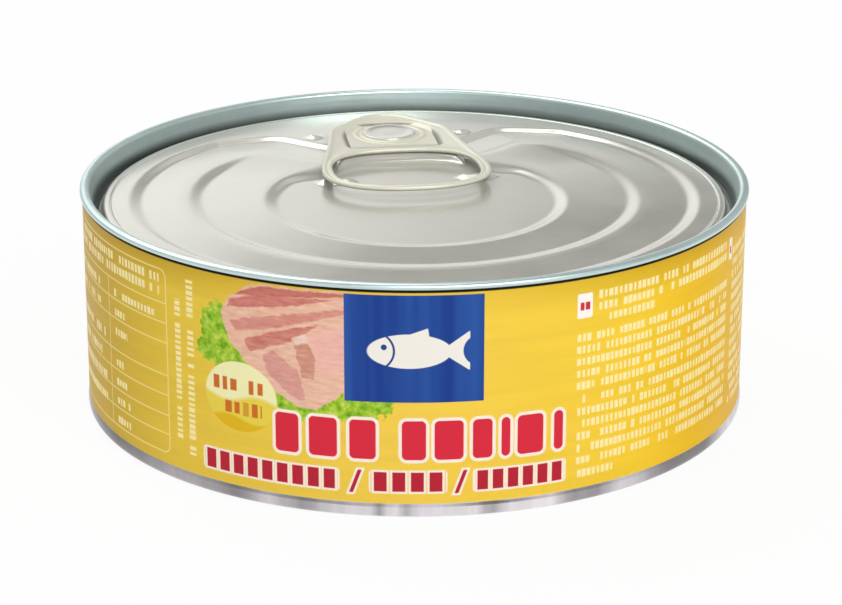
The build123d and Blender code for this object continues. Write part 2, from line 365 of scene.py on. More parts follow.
def make_base_metal():
    """Bare drawn steel of the base band: bright, with painted reflections as upright light and dark
    streaks round the can.
    """
    material, g, shader = new_material("base_steel")
    p = g.place_mm()
    split = g.add("ShaderNodeSeparateXYZ")
    g.feed(split.inputs[0], p)
    turn = g.math("ARCTAN2", split.outputs[0], g.math("MULTIPLY", split.outputs[1], -1.0))
    around = g.math("MULTIPLY_ADD", turn, 0.5 / math.pi, 0.5)
    # degrees round the can from the front, and the grey of the painted reflection there
    stops = [
        (-180, 0.8), (-150, 0.5), (-120, 0.85), (-90, 0.6), (-75, 0.4), (-60, 0.36), (-51, 0.5),
        (-44, 0.62), (-35, 0.6), (-30, 0.45), (-24, 0.8), (-18, 0.55), (-12, 0.86), (-6.6, 0.9),
        (-5.4, 0.5), (-4.2, 0.92), (-2, 0.9), (-1, 0.55), (0.4, 0.9), (10, 0.95), (12, 0.5),
        (15, 0.95), (22, 1.0), (26, 0.6), (31, 0.55), (36, 0.9), (46, 0.45), (58, 0.42),
        (68, 0.85), (90, 0.6), (130, 0.9), (180, 0.8),
    ]
    contrast = 1.6
    painted_reflections = g.ramp(around, [(0.5 + turn_deg / 360, grey ** contrast) for turn_deg, grey in stops])
    # the painted reflections stay on the band and its corner, and the underside is plain
    reach = g.vector("LENGTH", g.vector("MULTIPLY", p, (1.0, 1.0, 0.0)))
    band_starts_r = 42.2
    on_band = g.math("SUBTRACT", reach, band_starts_r, clamp=True)
    painted_reflections = g.mix(on_band, colour(226, 226, 226), painted_reflections)
    fine = g.noise(g.vector("MULTIPLY", p, (0.5, 0.5, 0.02)), 1.0, 2.0)
    shade = g.multiply(g.ramp(fine, [(0.35, 0.86), (0.65, 1.0)]), painted_reflections)
    g.feed(shader.inputs["Base Color"], g.multiply(colour(246, 240, 244), shade))
    g.feed(shader.inputs["Roughness"], g.span(fine, 0.14, 0.26))
    shader.inputs["Metallic"].default_value = 1.0
    bump(g, shader, g.noise(p, 0.6, 3.0), 0.02, 0.4)
    return material


# ---------------------------------------------------------------- the print on the wall

class Print(Graph):
    """Flat colour shapes laid one over another on the wall, by signed distances in millimetres."""

    def __init__(self, tree):
        super().__init__(tree)
        split = self.add("ShaderNodeSeparateXYZ")
        self.feed(split.inputs[0], self.place_mm())
        turn = self.math("ARCTAN2", split.outputs[0], self.math("MULTIPLY", split.outputs[1], -1.0))
        self.s = self.math("MULTIPLY", turn, wall_r)
        self.z = split.outputs[2]
        self.p = self.combine(self.s, self.z, 1.0)

    def box(self, left, right, low, high, round_by=0.15):
        centre = ((left + right) / 2, (low + high) / 2, 0.0)
        half = ((right - left) / 2 - round_by, (high - low) / 2 - round_by, 9.0)
        d = self.vector("SUBTRACT", self.p, centre)
        d = self.vector("SUBTRACT", self.vector("ABSOLUTE", d), half)
        d = self.vector("LENGTH", self.vector("MAXIMUM", d, (0.0, 0.0, 0.0)))
        return self.math("SUBTRACT", d, round_by)

    def oval(self, s, z, half_s, half_z, p=None):
        d = self.vector("SUBTRACT", p or self.p, (s, z, 1.0))
        d = self.vector("LENGTH", self.vector("DIVIDE", d, (half_s, half_z, 1.0)))
        least = min(half_s, half_z)
        return self.math("MULTIPLY_ADD", d, least, -least)

    def polygon(self, points, p=None, round_by=0.25):
        """Convex shape through points, in order."""
        area = sum(a[0] * b[1] - b[0] * a[1] for a, b in zip(points, points[1:] + points[:1]))
        sign = 1 if area > 0 else -1
        found = None
        for a, b in zip(points, points[1:] + points[:1]):
            ds, dz = b[0] - a[0], b[1] - a[1]
            size = math.hypot(ds, dz)
            ns, nz = sign * dz / size, -sign * ds / size
            d = self.vector("DOT_PRODUCT", p or self.p, (ns, nz, -(ns * a[0] + nz * a[1])))
            found = d if found is None else self.math("SMOOTH_MAX", found, d, round_by)
        return found

    def union(self, *parts):
        found = parts[0]
        for part in parts[1:]:
            found = self.math("MINIMUM", found, part)
        return found

    def within(self, *parts):
        found = parts[0]
        for part in parts[1:]:
            found = self.math("MAXIMUM", found, part)
        return found

    def mask(self, distance, soft=0.03):
        return self.math("MULTIPLY_ADD", distance, -0.5 / soft, 0.5, clamp=True)

    def lay(self, under, distance, paint, soft=0.03, strength=1.0):
        cover = self.mask(distance, soft)
        if strength != 1.0:
            cover = self.math("MULTIPLY", cover, strength)
        return self.mix(cover, under, paint)

    def words(self, along, across, length, first_row, pitch, rows, letter, height, seed, gap=0.13):
        """Rows of plain marks in word groups, in place of small print. along runs with a row from
        0 to length, and across falls from first_row, the first row's upper side."""
        step = self.math("MULTIPLY_ADD", across, -1 / pitch, first_row / pitch)
        row = self.math("FLOOR", step)
        cell = self.math("MULTIPLY", along, 1 / letter)
        white = self.add("ShaderNodeTexWhiteNoise", noise_dimensions="2D")
        self.feed(white.inputs["Vector"], self.combine(
            self.math("FLOOR", cell), self.math("ADD", row, float(seed)), 0.0))
        chance = self.add("ShaderNodeSeparateXYZ")
        self.feed(chance.inputs[0], white.outputs["Color"])
        # each mark has its own height and width, and some cells stay empty as gaps
        in_row = self.math("ABSOLUTE", self.math("SUBTRACT", self.math("FRACT", step), 0.5))
        tall = self.math("MULTIPLY_ADD", chance.outputs[1], -0.1 * height, -0.42 * height)
        d_row = self.math("MULTIPLY_ADD", in_row, pitch, tall)
        in_cell = self.math("ABSOLUTE", self.math("SUBTRACT", self.math("FRACT", cell), 0.5))
        wide = self.math("MULTIPLY_ADD", chance.outputs[2], -0.2 * letter, -0.23 * letter)
        d_cell = self.math("MULTIPLY_ADD", in_cell, letter, wide)
        steep = 9.0
        d_gap = self.math("MULTIPLY_ADD", white.outputs["Value"], -steep, gap * steep)
        middle = rows * pitch / 2
        d_rows = self.math("ABSOLUTE", self.math("SUBTRACT", across, first_row - middle))
        d_rows = self.math("SUBTRACT", d_rows, middle)
        d_ends = self.math("ABSOLUTE", self.math("SUBTRACT", along, length / 2))
        d_ends = self.math("SUBTRACT", d_ends, length / 2)
        return self.within(d_row, d_cell, d_gap, d_rows, d_ends)

    def text(self, left, right, high, pitch, rows, letter=0.78, height=1.0, seed=0):
        along = self.math("SUBTRACT", self.s, left)
        return self.words(along, self.z, right - left, high, pitch, rows, letter, height, seed)

    def upright_text(self, left, right, low, high, seed):
        """One row that reads upwards."""
        along = self.math("SUBTRACT", self.z, low)
        across = self.math("MULTIPLY", self.s, -1.0)
        wide = right - left
        return self.words(along, across, high - low, -left, wide, 1, 0.72, wide * 0.62, seed)


def make_print():
    material, _, shader = new_material("printed_wall")
    g = Print(material.node_tree)

    # golden ground with faint streaks; paler at the front and darker in a band on the left, partly
    # the print's own tone and partly painted light and shade
    around = g.math("MULTIPLY_ADD", g.s, 0.5 / (math.pi * wall_r), 0.5)
    ground = g.ramp(around, [
        (0.0, colour(236, 194, 56)), (0.22, colour(232, 188, 44)),
        (0.28, colour(206, 164, 24)), (0.33, colour(212, 175, 32)),
        (0.38, colour(234, 200, 66)), (0.44, colour(240, 205, 74)), (0.5, colour(245, 207, 78)),
        (0.57, colour(247, 208, 66)), (0.61, colour(250, 208, 50)), (0.65, colour(244, 194, 8)),
        (0.72, colour(238, 186, 10)), (0.8, colour(236, 190, 40)), (1.0, colour(236, 194, 56)),
    ])
    streak = g.combine(g.math("MULTIPLY", g.s, 0.05), g.math("MULTIPLY", g.z, 0.55), 0.0)
    streak = g.noise(streak, 1.0, 3.0)
    ground = g.multiply(g.ramp(streak, [(0.3, 0.94), (0.6, 1.0)]), ground)
    # painted shade under the seam, least at the front
    rise = g.math("MULTIPLY_ADD", g.z, 0.22, -5.5, clamp=True)
    side = g.ramp(around, [(0.38, 0.75), (0.47, 0.3), (0.53, 0.3), (0.62, 0.75)])
    ground = g.mix(g.math("MULTIPLY", rise, side), ground, colour(186, 146, 10))

    # light yellow marks: rows of small print and the table of values
    wobble = g.noise(g.p, 1.1, 2.0)
    rows = [
        g.text(23.0, 49.0, 27.2, 1.5, 2, 0.74, 1.05, 3),
        g.text(23.0, 32.0, 24.2, 1.5, 1, 0.74, 1.0, 5),
        g.text(20.1, 49.3, 22.1, 1.53, 5, 0.68, 1.0, 11),
        g.text(20.2, 49.3, 14.25, 1.58, 6, 0.68, 1.0, 23),
        g.text(20.4, 25.6, 4.6, 1.5, 1, 0.68, 1.0, 31),
        g.text(51.4, 74.0, 25.6, 1.55, 14, 0.68, 1.0, 43),
        g.upright_text(-32.2, -30.6, 6.0, 24.2, 51),
        g.upright_text(-30.2, -28.4, 3.4, 27.0, 57),
        g.text(-60.0, -34.6, 26.9, 1.6, 2, 0.78, 1.15, 61),
        g.text(-45.3, -35.6, 22.6, 2.56, 1, 0.74, 0.95, 67),
        g.text(-45.3, -42.0, 20.04, 2.56, 2, 0.74, 0.95, 71),
        g.text(-45.3, -41.8, 13.3, 2.56, 4, 0.74, 0.95, 77),
        g.text(-66.0, -48.6, 16.4, 2.9, 4, 0.80, 1.15, 83),
        g.text(-66.0, -50.0, 22.6, 2.56, 2, 0.80, 1.0, 89),
    ]
    frame_box = g.box(-70.0, -33.4, 3.35, 27.3, 1.1)
    lines = g.math("SUBTRACT", g.math("ABSOLUTE", frame_box), 0.09)
    for height in (23.0, 20.45, 17.9, 13.65, 11.05, 8.4, 5.9):
        across = g.math("ABSOLUTE", g.math("SUBTRACT", g.z, height))
        lines = g.union(lines, g.within(g.math("SUBTRACT", across, 0.08), frame_box))
    upright = g.math("SUBTRACT", g.math("ABSOLUTE", g.math("ADD", g.s, 46.9)), 0.08)
    below = g.math("SUBTRACT", g.z, 23.0)
    lines = g.union(lines, g.within(upright, below, frame_box))
    paint = g.lay(ground, g.union(*rows), colour(255, 240, 176), 0.05, 0.92)
    paint = g.lay(paint, lines, colour(250, 232, 150), 0.05, 0.85)

    # serving picture: leaves, then layered slices of fish
    warp = g.combine(wobble, g.noise(g.p, 1.3, 2.0), 0.5)
    warp = g.vector("MULTIPLY_ADD", warp, (2.6, 2.6, 0.0), (-1.3, -1.3, 0.0))
    leafy = g.vector("ADD", g.p, warp)
    leaves = g.union(
        g.oval(-25.0, 21.8, 2.6, 3.2, leafy), g.oval(-26.2, 19.0, 2.0, 1.6, leafy),
        g.oval(-23.4, 18.4, 2.6, 1.6, leafy), g.oval(-13.0, 13.4, 4.2, 2.0, leafy),
        g.oval(-7.4, 14.0, 3.2, 1.6, leafy), g.oval(-4.4, 14.2, 2.0, 1.0, leafy),
        g.oval(-15.6, 14.3, 2.0, 1.4, leafy),
    )
    vein = g.noise(g.vector("ADD", g.p, (7.0, 3.0, 0.0)), 0.9, 4.0, 0.65)
    green = g.ramp(vein, [
        (0.3, colour(86, 148, 26)), (0.5, colour(152, 196, 46)), (0.7, colour(212, 222, 98))])
    paint = g.lay(paint, leaves, green, 0.12)
    nudge = g.combine(wobble, vein, 0.5)
    nudge = g.vector("MULTIPLY_ADD", nudge, (0.7, 0.7, 0.0), (-0.35, -0.35, 0.0))
    fish_p = g.vector("ADD", g.p, nudge)
    flesh = g.noise(g.vector("MULTIPLY", g.p, (0.5, 2.2, 1.0)), 1.0, 4.0, 0.6)

    # outline, darker tone, lighter tone; each slice lies over the one before
    slices = [
        ([(-23.4, 26.0), (-20.7, 27.9), (-18.8, 28.4), (-8.0, 28.5), (-8.0, 16.5), (-10.1, 14.9),
          (-12.0, 13.7), (-14.1, 13.8), (-16.8, 15.3), (-20.6, 18.0), (-22.9, 20.2), (-24.0, 22.3),
          (-24.4, 24.0)], (226, 172, 144), (242, 200, 176)),
        ([(-22.6, 26.6), (-20.7, 27.6), (-18.8, 28.2), (-8.0, 28.3), (-8.0, 27.9)],
         (190, 108, 96), (206, 128, 112)),
        ([(-23.7, 24.7), (-20.2, 24.8), (-15.0, 26.1), (-8.0, 27.1), (-8.0, 27.6), (-19.6, 27.0),
          (-22.9, 26.0)], (194, 108, 102), (218, 142, 128)),
        ([(-23.3, 23.3), (-22.3, 22.1), (-19.0, 22.6), (-8.0, 25.8), (-8.0, 26.4), (-15.0, 25.2)],
         (204, 128, 116), (224, 160, 144)),
        ([(-21.3, 21.2), (-19.4, 18.3), (-14.5, 21.9), (-8.0, 24.4), (-8.0, 25.0), (-16.0, 23.1)],
         (194, 112, 102), (218, 148, 132)),
        ([(-19.2, 20.0), (-17.4, 20.8), (-14.8, 21.9), (-11.5, 24.1), (-8.0, 24.9), (-8.0, 16.2),
          (-10.1, 14.5), (-11.9, 13.4), (-14.1, 13.5), (-17.0, 15.1), (-18.8, 17.3)],
         (226, 172, 146), (242, 200, 178)),
        ([(-18.7, 19.6), (-17.2, 20.3), (-14.8, 21.3), (-14.0, 18.0), (-12.0, 16.6), (-11.4, 14.8),
          (-14.0, 14.3), (-16.4, 15.9), (-18.2, 17.7)], (208, 142, 134), (226, 168, 154)),
        ([(-12.6, 22.8), (-8.0, 24.4), (-8.0, 19.0), (-11.4, 17.8)],
         (232, 172, 160), (244, 196, 182)),
        ([(-14.7, 21.9), (-13.0, 22.5), (-11.9, 19.8), (-12.1, 17.2), (-13.6, 17.3), (-14.3, 20.0)],
         (196, 128, 108), (222, 168, 146)),
        ([(-14.8, 22.2), (-13.2, 22.9), (-12.6, 21.9), (-14.4, 21.3)],
         (232, 196, 176), (242, 212, 196)),
    ]
    for outline, dark, light in slices:
        tone = g.ramp(flesh, [(0.32, colour(*dark)), (0.68, colour(*light))])
        paint = g.lay(paint, g.polygon(outline, fish_p), tone, 0.1)

    # blue panel with a plain fish
    panel = g.box(-8.35, 8.3, 14.95, 28.4, 0.1)
    shimmer = g.noise(g.vector("MULTIPLY", g.p, (0.32, 0.01, 1.0)), 1.0, 2.0)
    blue = g.ramp(shimmer, [(0.35, colour(27, 62, 140)), (0.65, colour(44, 86, 162))])
    paint = g.lay(paint, panel, blue, 0.04)
    body = g.oval(-0.6, 21.4, 5.0, 2.15)
    tail = g.within(g.polygon([(3.0, 21.4), (6.6, 23.9), (6.6, 18.9)], round_by=0.3),
                    g.math("MULTIPLY", g.oval(7.7, 21.4, 1.9, 1.9), -1.0))
    fin = g.polygon([(-1.8, 23.1), (1.6, 24.3), (1.9, 22.4)], round_by=0.2)
    fish = g.union(body, tail, fin)
    fish = g.within(fish, g.math("MULTIPLY", g.oval(-3.6, 21.9, 0.36, 0.36), -1.0))
    gill = g.math("SUBTRACT", g.math("ABSOLUTE", g.oval(-5.4, 21.4, 3.0, 2.6)), 0.12)
    fish = g.within(fish, g.math("MULTIPLY", gill, -1.0))
    paint = g.lay(paint, fish, colour(240, 236, 226), 0.04)

    # round badge in two tones with a wave
    badge = g.oval(-21.9, 13.6, 5.05, 4.45)
    wave = g.math("MULTIPLY", g.math("SINE", g.math("MULTIPLY_ADD", g.s, 0.75, 0.6)), 0.45)
    tone_top = g.math("SUBTRACT", g.math("ADD", g.z, wave), 13.4)
    upper = g.mask(g.math("MULTIPLY", tone_top, -1.0), 0.3)
    inner = g.mix(upper, colour(234, 210, 76), colour(244, 240, 184))
    low = g.math("SUBTRACT", g.math("SUBTRACT", g.z, wave), 10.7)
    inner = g.mix(g.mask(low, 0.2), inner, colour(226, 184, 28))
    paint = g.lay(paint, badge, inner, 0.05)
    marks = g.union(
        g.text(-25.9, -18.3, 16.2, 2.4, 1, 1.24, 1.75, 203),
        g.text(-24.2, -18.9, 13.3, 2.4, 1, 1.24, 1.75, 211),
    )
    paint = g.lay(paint, g.within(marks, badge), colour(206, 110, 40), 0.05)

    # two rows of red blocks with white edges, in place of the title
    spans = [(-17.1, -14.1), (-12.8, -9.3), (-7.8, -4.6), (-1.5, 1.4), (2.4, 5.9), (7.0, 9.4),
             (10.5, 11.6), (12.5, 15.8), (17.2, 18.4)]
    title = g.union(*[g.box(left, right, 7.6, 12.6, 0.6) for left, right in spans])
    small = []
    for left, right, count in ((-27.3, -9.3, 9), (-5.2, 3.7, 4), (7.3, 18.6, 6)):
        pitch = (right - left) / count
        u = g.math("FRACT", g.math("MULTIPLY_ADD", g.s, 1 / pitch, -left / pitch))
        off = g.math("ABSOLUTE", g.math("SUBTRACT", u, 0.5))
        across = g.math("MULTIPLY_ADD", off, pitch, -pitch * 0.35)
        small.append(g.within(across, g.box(left, right, 3.5, 6.0, 0.2)))
    for mid in (-7.1, 5.6):
        stroke = [(mid - 0.8, 3.2), (mid - 0.3, 3.2), (mid + 0.8, 6.2), (mid + 0.3, 6.2)]
        small.append(g.polygon(stroke))
    second = g.union(*small)
    edges = g.union(g.math("SUBTRACT", title, 0.4), g.math("SUBTRACT", second, 0.27))
    paint = g.lay(paint, edges, colour(252, 238, 222), 0.05)
    paint = g.lay(paint, title, colour(216, 44, 64), 0.04)
    paint = g.lay(paint, second, colour(184, 36, 54), 0.04)

    # white tags with a red mark
    tag = g.union(g.box(20.1, 22.2, 23.8, 26.9, 0.25), g.box(49.9, 51.0, 24.0, 26.9, 0.25))
    paint = g.lay(paint, tag, colour(250, 246, 240), 0.04)
    spans = [(20.5, 21.05), (21.2, 21.85), (50.2, 50.7)]
    mark = g.union(*[g.box(left, right, 24.8, 25.8, 0.1) for left, right in spans])
    paint = g.lay(paint, mark, colour(206, 50, 60), 0.05)

    # the print stops short of the seam, and the neck under it is painted dark as shadow
    neck_shadow = g.math("MULTIPLY_ADD", g.z, -1.0, seam_underside - 0.4)
    paint = g.lay(paint, neck_shadow, colour(44, 42, 32), 0.05)

    g.feed(shader.inputs["Base Color"], paint)
    speck = g.noise(g.vector("MULTIPLY", g.p, (0.4, 0.4, 1.0)), 1.0, 3.0)
    g.feed(shader.inputs["Roughness"], g.span(speck, 0.34, 0.48))
    shader.inputs["Metallic"].default_value = 0.12
    shader.inputs["Specular IOR Level"].default_value = 0.12
    bump(g, shader, speck, 0.02, 0.25)
    return material


# ---------------------------------------------------------------- body

def make_wall(material):
    neck_z = seam_underside - 0.38
    outline = [(wall_r, band_height)]
    outline += [(wall_r, band_height + (neck_z - band_height) * i / 8) for i in range(1, 9)]
    outline += [
        (wall_r - 0.12, seam_underside - 0.3),
        (wall_r - 0.25, seam_underside - 0.22),
        (wall_r - 0.28, seam_underside + 0.02),
    ]
    verts, faces = lathe_mesh(outline, can_segments)
    wall = make_object("printed_wall", verts, faces, material, "can_body")
    # the wall unrolled as four strips, one over another
    layer = wall.data.uv_layers.new(name="OFBake")
    strips, height = 4, seam_underside - band_height + 0.1
    per = can_segments // strips
    margin, share = 0.01, 0.98
    strip_margin, strip_share = 0.03, 0.94
    for face in wall.data.polygons:
        j = face.index % can_segments
        strip = j // per
        for loop, corner in zip(face.loop_indices, (0, 1, 1, 0)):
            z = wall.data.vertices[wall.data.loops[loop].vertex_index].co.z / MM
            u = (j % per + corner) / per
            v = (strip + strip_margin + strip_share * (z - band_height) / height) / strips
            layer.data[loop].uv = (margin + share * u, v)
    return wall


def make_base(material):
    foot_out, foot_in, recess_r = 42.38, 40.78, 39.98
    recess, corner = 0.7, 0.95
    bead_r, bead_half, bead_depth = 29, 1.5, 0.3
    outline = [(0, recess), (6, recess), (14, recess), (22, recess), (27.2, recess)]
    for i in range(1, 10):
        turn = math.pi * i / 10
        outline.append((bead_r - bead_half * math.cos(turn), recess - bead_depth * math.sin(turn)))
    outline += [(30.8, recess), (36, recess), (39.6, recess), (recess_r, recess - 0.03)]
    outline += [(40.4, 0.34), (foot_in - 0.06, 0.03), (foot_in + 0.1, 0), (foot_out - 0.02, 0)]
    outline += arc(foot_out, corner, corner, corner, -90, 0, 8)
    outline += [(band_r, 1.2), (band_r, 1.42), (band_r - 0.02, 1.55)]
    outline += [(wall_r + 0.02, 1.83), (wall_r, band_height)]
    verts, faces = lathe_mesh(outline, can_segments)
    return make_object("base_band", verts, faces, material, "can_body", 50)


# ---------------------------------------------------------------- end

def make_seam(material):
    """Seam roll, inner wall and the outer half of the channel."""
    mid = (rim_r + seam_top_in) / 2
    half = (rim_r - seam_top_in) / 2
    crown = 0.42
    outline = [
        (wall_r - 0.3, seam_underside + 0.02),
        (rim_r - 0.16, seam_underside),
        (rim_r - 0.05, seam_underside + 0.05),
        (rim_r, seam_underside + 0.16),
    ]
    outline += arc(mid, top - crown, half, crown, 0, 180, 16)
    outline += [(seam_top_in - 0.03, top - 0.6), (seam_top_in - 0.15, top - 1.0)]
    lean, fall = 0.4, 2.15
    outline += [
        (seam_top_in - 0.15 - (lean * i / 6), top - 1.0 - (fall * i / 6)) for i in range(1, 7)
    ]
    mid_r = chuck_low_r - channel_r
    outline += arc(mid_r, channel_low + channel_r, channel_r, channel_r, 0, -90, 6)[1:]
    verts, faces = lathe_mesh(outline, can_segments)
    return make_object("seam", verts, faces, material, "lid", 40)


def riser_line():
    """Foot of the outer riser: the first ring's inner edge, and the bends round the rivet's
    level ground."""
    root_deg = 42
    root = math.radians(root_deg)
    bends = [(0, 19.55), (6, 20.65), (10, 22.95), (13.2, 25.95), (15.6, 27.75), (19, 27.55),
             (ring_1_in * math.sin(root), ring_1_in * math.cos(root))]
    half = spline(bends, 24)
    turns = np.radians(np.linspace(root_deg, 180, 300))
    ring = np.stack([ring_1_in * np.sin(turns), ring_1_in * np.cos(turns)], 1)
    return half, ring


def panel_height(t, a):
    """Height of the panel in mm at points of the tab's axes."""
    r = np.hypot(t, a)
    angle = np.degrees(np.abs(np.arctan2(t, a)))
    half, ring = riser_line()
    line = np.concatenate([half, ring[1:]])
    across = np.abs(t)
    near = np.empty_like(r)
    share = np.empty_like(r)
    batch = 4000
    for start in range(0, len(r), batch):
        part = slice(start, start + batch)
        d = np.hypot(across[part, None] - line[None, :, 0], a[part, None] - line[None, :, 1])
        near[part] = d.min(1)
        share[part] = d.argmin(1)
    side_a = np.interp(across, half[:, 0], half[:, 1])
    inside = np.where((across < half[-1, 0]) & (a > 0), a < side_a, r < ring_1_in)
    d = np.where(inside, -near, near)
    # the riser is narrow where it leaves the ring and wide in the bend
    stations = [0, 40, 75, 100, 125, 143, 175, 440]
    width = np.interp(share, stations, [1.9, 1.7, 1.3, 1.2, 0.9, 0.8, 1.9, 1.9])
    climb = np.clip(-d / belt_1_run, 0, 1)
    climb = climb - belt_1_dip * np.exp(-((-d - belt_1_run) / belt_1_dip_half) ** 2) * inside
    inner = trough_1 + (belt_1_top - trough_1) * climb
    # the second ring fades out towards the rivet, and the dish's slope is widest there
    fade_2 = 1 + (smooth(angle, 40, 66) - 1) * smooth(r, 6, 16)
    drop_2 = ring_2_drop * smooth(-r, -ring_2_out, -ring_2_in)
    climb_2 = belt_2_climb * np.clip((ring_2_in - r) / (ring_2_in - dish_r), 0, 1)
    inner = inner + fade_2 * (climb_2 - drop_2)
    dish_turn = np.degrees(np.abs(np.arctan2(t, a + dish_shift)))
    slope = dish_slope + dish_widening * (1 - smooth(dish_turn, 34, 58))
    dish_d = np.hypot(t, a + dish_shift)
    inner = inner - dish_drop * smooth(-dish_d, -dish_r, -dish_r + slope)
    out = np.clip((r - ring_1_out) / (outer_belt_out - ring_1_out), 0, 1)
    outer = high_z - outer_belt_fall * out
    z = inner + (outer - inner) * smooth(d, 0, width)
    z = z - score_depth * np.clip(1 - np.abs(r - score_r) / score_half, 0, 1)
    # boss under the rivet; outside its edge it lies well under the panel and leaves it alone
    boss = np.hypot(t, a - rivet_a)
    boss_z = high_z + boss_high * smooth(-boss, -boss_foot_r, -boss_top_r) * (boss < boss_edge_r)
    well_under = 0.9
    z = np.maximum(z, boss_z - well_under * (boss >= boss_edge_r))
    # raised ground under the plate, which falls away in the finger hole
    arch = np.clip(1 - (np.clip(across / hole_half, 0, 1)) ** hole_far_power, 0, 1)
    hole_far = ring_mid + hole_far_depth * arch ** (1 / hole_far_power)
    half_width = np.interp(a, [12, 20, 25.6, 28.0, 29.8, 30.4], [8.2, 7.4, 6.2, 4.2, 1.5, -1.2])
    mound = smooth(a - hole_far, -0.8, 0.25) * smooth(half_width - across, -0.9, 0.3) * (a > 9)
    gap, lip, lip_end = 0.1, 0.16, 19
    crest = tab_under - gap + lip * smooth(hole_far - a, -1.7, -1.2) * (a < lip_end)
    z = z + (np.maximum(crest, z) - z) * mound * (boss > boss_edge_r)
    # bumps beside the nose, rests beside the heel
    for side in (-1, 1):
        bump_d = np.hypot(t - side * bump_across, a - bump_along)
        z = z + bump_high * (0.5 + 0.5 * np.cos(math.pi * np.clip(bump_d / mark_r, 0, 1)))
        along = np.clip(t * side, rest_from, rest_to)
        rest_d = np.hypot(t * side - along, a - ring_mid)
        z = z + rest_high * (0.5 + 0.5 * np.cos(math.pi * np.clip(rest_d / mark_r, 0, 1)))
    return z


def make_panel(material):
    # closer turns behind the tab, and rows packed where the height changes fast
    fine = np.radians(np.arange(-62, 62.01, 0.36))
    coarse = np.radians(np.arange(63, 297.5, 1.3))
    turns = np.concatenate([fine, coarse])
    radii = np.concatenate([
        [2, 4, 6, 7.2, 8.2],
        np.arange(9.0, 15.0, 0.3), np.arange(15.0, 22.4, 0.26), np.arange(22.6, 39.0, 0.27),
        [39.2, 39.35, 39.44, 39.5, 39.56, 39.6, 39.64, 39.7, 39.76, 39.85, 40.0, 40.2],
    ])
    rr, tt = np.meshgrid(radii, turns, indexing="ij")
    t, a = (rr * np.sin(tt)).ravel(), (rr * np.cos(tt)).ravel()
    z = panel_height(t, a)
    # rounded edge and the inner half of the channel
    edge = arc(panel_r - panel_edge, panel_z - panel_edge, panel_edge, panel_edge, 90, 0, 5)[1:]
    edge += [(panel_r, channel_low + channel_r + 0.1)]
    edge += arc(panel_r + channel_r, channel_low + channel_r, channel_r, channel_r, 180, 270, 6)
    for r, level in edge:
        t = np.concatenate([t, r * np.sin(turns)])
        a = np.concatenate([a, r * np.cos(turns)])
        z = np.concatenate([z, np.full(len(turns), level)])
    c, s = math.cos(lid_turn), math.sin(lid_turn)
    x, y = t * c - a * s, t * s + a * c
    verts = list(zip(x.tolist(), y.tolist(), z.tolist()))
    centre = len(verts)
    verts.append((0.0, 0.0, float(z[0])))
    n, rows = len(turns), len(radii) + len(edge)
    faces = [(centre, (j + 1) % n, j) for j in range(n)]
    for i in range(rows - 1):
        for j in range(n):
            k = (j + 1) % n
            faces.append((i * n + j, i * n + k, (i + 1) * n + k, (i + 1) * n + j))
    return make_object("end_panel", verts, faces, material, "lid", 60)


def make_rivet(material):
    low, high = top - 1.66, top - 1.35
    outline = [(rivet_r, low), (rivet_r, high - rivet_round)]
    outline += arc(
        rivet_r - rivet_round, high - rivet_round, rivet_round, rivet_round, 0, 90, 5
    )[1:]
    dish = [(3.2, 0), (2.9, 0.02), (2.6, 0.06), (2.2, 0.08), (1.2, 0.07), (0, 0.06)]
    outline += [(r, high - drop) for r, drop in dish]
    verts, faces = lathe_mesh(outline, rivet_segments, place(0, rivet_a))
    return make_object("rivet", verts, faces, material, "lid", 50)


# ---------------------------------------------------------------- pull tab

def bow(half, mid, depth, power):
    """Quarter of a rounded bow, from its lowest point on the axis out to its full half width."""
    turns = [math.radians(d) for d in range(0, 90, 3)]
    return [
        (half * math.sin(u) ** (2 / power), mid - depth * math.cos(u) ** (2 / power))
        for u in turns
    ]


def tab_side():
    """Outer edge of the tab's right half, from the heel to the nose."""
    heel = bow(ring_half, ring_mid, ring_depth, ring_power)
    arm = [(11.0, 10.6), (10.25, 14.7), (9.6, 18.2), (9.05, 21.4), (8.6, 24.6)]
    side = spline([(ring_half, ring_mid), *arm, shoulder], 8)
    corner = spline([shoulder, (8.1, 27.1), (7.5, 28.1), nose_corner], 6)
    flank = spline([nose_corner, (4.9, 31.3), (3.4, 33.0), (1.75, 34.1), nose_tip], 9)
    return np.array([*heel, *side[:-1], *corner[:-1], *flank])


def mirrored(right):
    """Closed outline from a right half that starts and ends on the axis."""
    left = [(-x, y) for x, y in right[::-1][1:-1]]
    return np.array([*right, *left])


def hole_side():
    """Right half of the finger hole's outline."""
    near = bow(hole_half, ring_mid, hole_near_depth, hole_near_power)
    far = bow(hole_half, ring_mid, -hole_far_depth, hole_far_power)[::-1]
    return np.array([*near, (hole_half, ring_mid), *far])


def window_side():
    """The window: straight near edge, sides that draw in towards the nose."""
    near = [(i * 0.9, window_near) for i in range(6)]
    corner_a = window_near + window_corner
    turn = arc(window_half - window_corner, corner_a, window_corner, window_corner, -90, 0, 9)
    bends = [(6.2, 24.3), (5.6, 26.8), (4.3, 28.9), (2.4, 29.85), (0, 30.0)]
    far = spline([(window_half, corner_a), *bends], 8)
    return np.array([*near, *turn, *far[1:]])


def inset(outline, distance):
    """Outline moved to its left, distance at each point."""
    ahead = np.roll(outline, -1, 0) - np.roll(outline, 1, 0)
    ahead /= np.linalg.norm(ahead, axis=1)[:, None]
    left = np.stack([-ahead[:, 1], ahead[:, 0]], 1)
    return outline + left * np.asarray(distance)[:, None]


